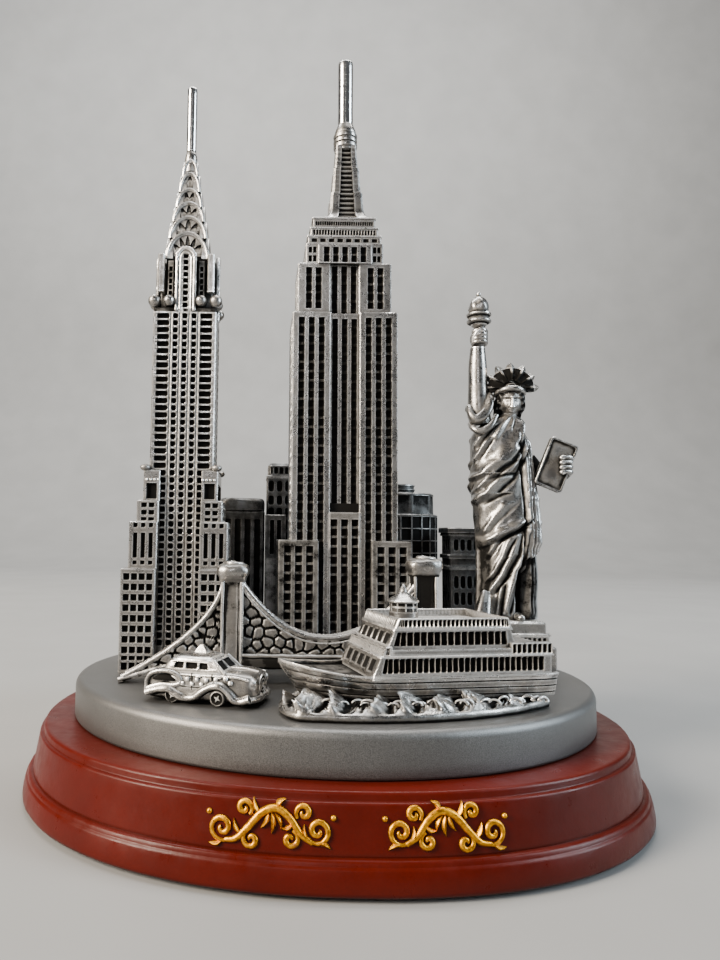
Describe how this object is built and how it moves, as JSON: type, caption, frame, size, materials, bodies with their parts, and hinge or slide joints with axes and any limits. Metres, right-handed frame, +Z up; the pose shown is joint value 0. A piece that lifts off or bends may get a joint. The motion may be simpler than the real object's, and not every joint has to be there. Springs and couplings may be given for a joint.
{
  "type": "miniature landmark model",
  "caption": "Desk souvenir of a city in miniature: antique-metal towers, bridge, ferry, cab and torch-bearing statue on a satin oval plate with a painted foot.",
  "frame": {"origin": "centre of the underside of the felt pad, where the model rests", "axes": "+Z up, front with the ferry, cab and gold ornaments towards -Y, statue towards +X"},
  "size_m": [0.13, 0.1166, 0.1763],
  "materials": {
    "antique_pewter": "antique silver: burnished bright edges over near-black patina in the recesses",
    "dark_pewter": "antique silver with heavy dark patina, only edges burnished",
    "satin_plate": "fine satin grain, softly rounded rim",
    "polished_rod": "polished drawn rod",
    "screw_steel": "plain zinc-plated screw",
    "painted_resin": "red-brown semi-gloss paint over cast resin, faint orange peel and a few specks",
    "gold_paint": "gold paint over raised ornament",
    "felt": "dark self-adhesive felt"
  },
  "bodies": {
    "root": {"felt_pad": "felt", "resin_foot": "painted_resin", "top_plate": "satin_plate", "front_scroll_left": "gold_paint", "front_scroll_right": "gold_paint", "plate_screw_left": "screw_steel", "plate_screw_right": "screw_steel", "plate_screw_rear": "screw_steel", "deco_tower_screw": "screw_steel", "stepped_tower_screw": "screw_steel", "deco_tower_rod": "polished_rod", "stepped_tower_rod": "polished_rod", "deco_tower_left_wing": "antique_pewter", "deco_tower_right_wing": "antique_pewter", "deco_tower_shaft": "antique_pewter", "deco_tower_shoulder": "antique_pewter", "deco_tower_crown": "antique_pewter", "stepped_tower_podium": "antique_pewter", "stepped_tower_shaft": "antique_pewter", "stepped_tower_upper_block": "antique_pewter", "stepped_tower_ledges": "antique_pewter", "stepped_tower_mast": "antique_pewter", "bridge_left_pylon": "antique_pewter", "bridge_right_pylon": "antique_pewter", "bridge_approach_span": "antique_pewter", "bridge_main_span": "antique_pewter", "bridge_deck": "antique_pewter", "cab_body": "antique_pewter", "cab_cabin": "antique_pewter", "cab_front_near_wheel": "antique_pewter", "cab_front_far_wheel": "antique_pewter", "cab_rear_near_wheel": "antique_pewter", "cab_rear_far_wheel": "antique_pewter", "ferry_sea": "antique_pewter", "ferry_hull": "antique_pewter", "ferry_lower_deckhouse": "antique_pewter", "ferry_upper_deckhouse": "antique_pewter", "ferry_pilot_house": "antique_pewter", "ferry_stern_ramp": "antique_pewter", "statue_pedestal": "antique_pewter", "statue_robe": "antique_pewter", "statue_head": "antique_pewter", "statue_diadem": "antique_pewter", "statue_raised_arm": "antique_pewter", "statue_torch": "antique_pewter", "statue_forearm": "antique_pewter", "statue_tablet": "antique_pewter", "skyline_round_roof_block": "dark_pewter", "skyline_arched_window_block": "dark_pewter", "skyline_setback_block": "dark_pewter", "skyline_round_stepped_block": "dark_pewter", "skyline_corniced_block": "dark_pewter"}
  },
  "joints": []
}
